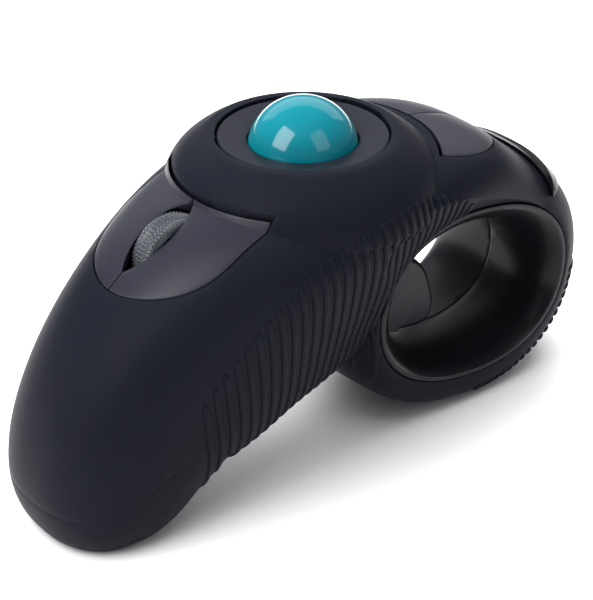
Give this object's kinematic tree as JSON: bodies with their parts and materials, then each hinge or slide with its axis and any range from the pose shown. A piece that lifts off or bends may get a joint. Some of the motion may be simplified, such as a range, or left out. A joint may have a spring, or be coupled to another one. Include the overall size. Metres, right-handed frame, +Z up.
{
  "type": "trackball mouse",
  "caption": "Handheld trackball mouse with a ball on a low dome, paired keys ahead and behind, a scroll wheel in the rear keys, and a finger ring with a trigger under the nose.",
  "frame": {"origin": "bottom centre of the whole mouse, on the plane it rests on", "axes": "+Y from the tail to the nose, +X to the right, +Z up"},
  "size_m": [0.0532, 0.1298, 0.0705],
  "materials": {
    "shell": "satin soft-touch",
    "key": "satin",
    "liner": "semi-gloss",
    "window": "high gloss",
    "ball": "high gloss",
    "ring": "satin",
    "wheel": "frosted clear",
    "steel": "bright",
    "cup": "moulded",
    "bearing": "polished ceramic",
    "board": "solder mask",
    "chip": "moulded",
    "lens": "clear",
    "lamp": "clear red",
    "can": "plated",
    "switch": "moulded",
    "plunger": "moulded",
    "cradle": "moulded",
    "cell": "printed sleeve, plain",
    "tray": "moulded",
    "slider": "moulded",
    "trigger": "satin"
  },
  "bodies": {
    "housing": {"ball_cup": "cup", "battery_contacts": "steel", "battery_tray": "tray", "board_screws": "steel", "case_screws": "steel", "clock_crystal": "can", "controller_chip": "chip", "cup_bearings": "bearing", "finger_liner_left": "liner", "finger_liner_right": "liner", "front_key_pin": "steel", "front_left_switch": "switch", "front_right_switch": "switch", "guide_pins": "steel", "left_cell": "cell", "lower_shell": "shell", "main_board": "board", "nose_window": "window", "power_switch": "switch", "radio_module": "can", "rear_key_pin": "steel", "rear_left_switch": "switch", "rear_right_switch": "switch", "right_cell": "cell", "sensor_chip": "chip", "sensor_lamp": "lamp", "sensor_lens": "lens", "trigger_bracket": "cradle", "trigger_pin": "steel", "trigger_springs": "steel", "trigger_switch": "switch", "upper_shell": "shell", "wheel_switch": "switch"},
    "trackball": {"trackball": "ball"},
    "retaining_ring": {"retaining_ring": "ring"},
    "wheel_cradle": {"wheel_bracket": "cradle", "wheel_encoder": "switch"},
    "scroll_wheel": {"scroll_wheel": "wheel", "wheel_axle": "steel"},
    "trigger": {"trigger": "trigger"},
    "battery_door": {"battery_door": "shell"},
    "power_slider": {"power_slider": "slider"},
    "rear_left_key": {"rear_left_key": "key"},
    "rear_left_plunger": {"rear_left_plunger": "plunger"},
    "rear_right_key": {"rear_right_key": "key"},
    "rear_right_plunger": {"rear_right_plunger": "plunger"},
    "front_left_key": {"front_left_key": "key"},
    "front_left_plunger": {"front_left_plunger": "plunger"},
    "front_right_key": {"front_right_key": "key"},
    "front_right_plunger": {"front_right_plunger": "plunger"},
    "wheel_plunger": {"wheel_plunger": "plunger"},
    "trigger_plunger": {"trigger_plunger": "plunger"}
  },
  "joints": [
    {"name": "ball_roll", "type": "hinge", "parent": "housing", "child": "trackball", "pos_m": [0, -0.00159, 0.06], "axis": [1, 0, 0], "continuous": true},
    {"name": "ring_twist", "type": "hinge", "parent": "housing", "child": "retaining_ring", "pos_m": [0, -0.00159, 0.0625], "axis": [0, 0, 1], "range_deg": [0, 20]},
    {"name": "rear_left_press", "type": "hinge", "parent": "housing", "child": "rear_left_key", "pos_m": [0, -0.04219, 0.0441], "axis": [-1, 0, 0], "range_deg": [0, 1.3], "stiffness_Nm_per_rad": 0.3, "springref_deg": -1.15},
    {"name": "rear_left_click", "type": "slide", "parent": "housing", "child": "rear_left_plunger", "axis": [0, 0, -1], "range_m": [0, 0.0005]},
    {"name": "front_left_press", "type": "hinge", "parent": "housing", "child": "front_left_key", "pos_m": [0, 0.03761, 0.05112], "axis": [1, 0, 0], "range_deg": [0, 2], "stiffness_Nm_per_rad": 0.2, "springref_deg": -1.72},
    {"name": "front_left_click", "type": "slide", "parent": "housing", "child": "front_left_plunger", "axis": [0, 0, -1], "range_m": [0, 0.0005]},
    {"name": "rear_right_press", "type": "hinge", "parent": "housing", "child": "rear_right_key", "pos_m": [0, -0.04219, 0.0441], "axis": [-1, 0, 0], "range_deg": [0, 1.3], "stiffness_Nm_per_rad": 0.3, "springref_deg": -1.15},
    {"name": "rear_right_click", "type": "slide", "parent": "housing", "child": "rear_right_plunger", "axis": [0, 0, -1], "range_m": [0, 0.0005]},
    {"name": "front_right_press", "type": "hinge", "parent": "housing", "child": "front_right_key", "pos_m": [0, 0.03761, 0.05112], "axis": [1, 0, 0], "range_deg": [0, 2], "stiffness_Nm_per_rad": 0.2, "springref_deg": -1.72},
    {"name": "front_right_click", "type": "slide", "parent": "housing", "child": "front_right_plunger", "axis": [0, 0, -1], "range_m": [0, 0.0005]},
    {"name": "wheel_press", "type": "slide", "parent": "housing", "child": "wheel_cradle", "axis": [0, 0, -1], "range_m": [0, 0.0005], "stiffness_N_per_m": 400, "springref_m": -0.001},
    {"name": "wheel_click", "type": "slide", "parent": "housing", "child": "wheel_plunger", "axis": [0, 0, -1], "range_m": [0, 0.0005]},
    {"name": "wheel_roll", "type": "hinge", "parent": "wheel_cradle", "child": "scroll_wheel", "pos_m": [0, -0.03129, 0.04794], "axis": [1, 0, 0], "continuous": true},
    {"name": "trigger_pull", "type": "hinge", "parent": "housing", "child": "trigger", "pos_m": [0, 0.00841, 0.0325], "axis": [-1, 0, 0], "range_deg": [0, 4], "stiffness_Nm_per_rad": 0.1, "springref_deg": -2.86},
    {"name": "trigger_click", "type": "slide", "parent": "housing", "child": "trigger_plunger", "axis": [0, -1, 0], "range_m": [0, 0.0005]},
    {"name": "door_slide", "type": "slide", "parent": "housing", "child": "battery_door", "axis": [0, 0.4131, -0.9107], "range_m": [0, 0.012]},
    {"name": "power_slide", "type": "slide", "parent": "housing", "child": "power_slider", "axis": [1, 0, 0], "range_m": [0, 0.003]}
  ],
  "couplings": [
    {"joint": "rear_left_click", "follows": "rear_left_press", "m_per_rad": 0.02},
    {"joint": "front_left_click", "follows": "front_left_press", "m_per_rad": 0.0087},
    {"joint": "rear_right_click", "follows": "rear_right_press", "m_per_rad": 0.02},
    {"joint": "front_right_click", "follows": "front_right_press", "m_per_rad": 0.0087},
    {"joint": "wheel_click", "follows": "wheel_press", "ratio": 1},
    {"joint": "trigger_click", "follows": "trigger_pull", "m_per_rad": 0.007}
  ]
}
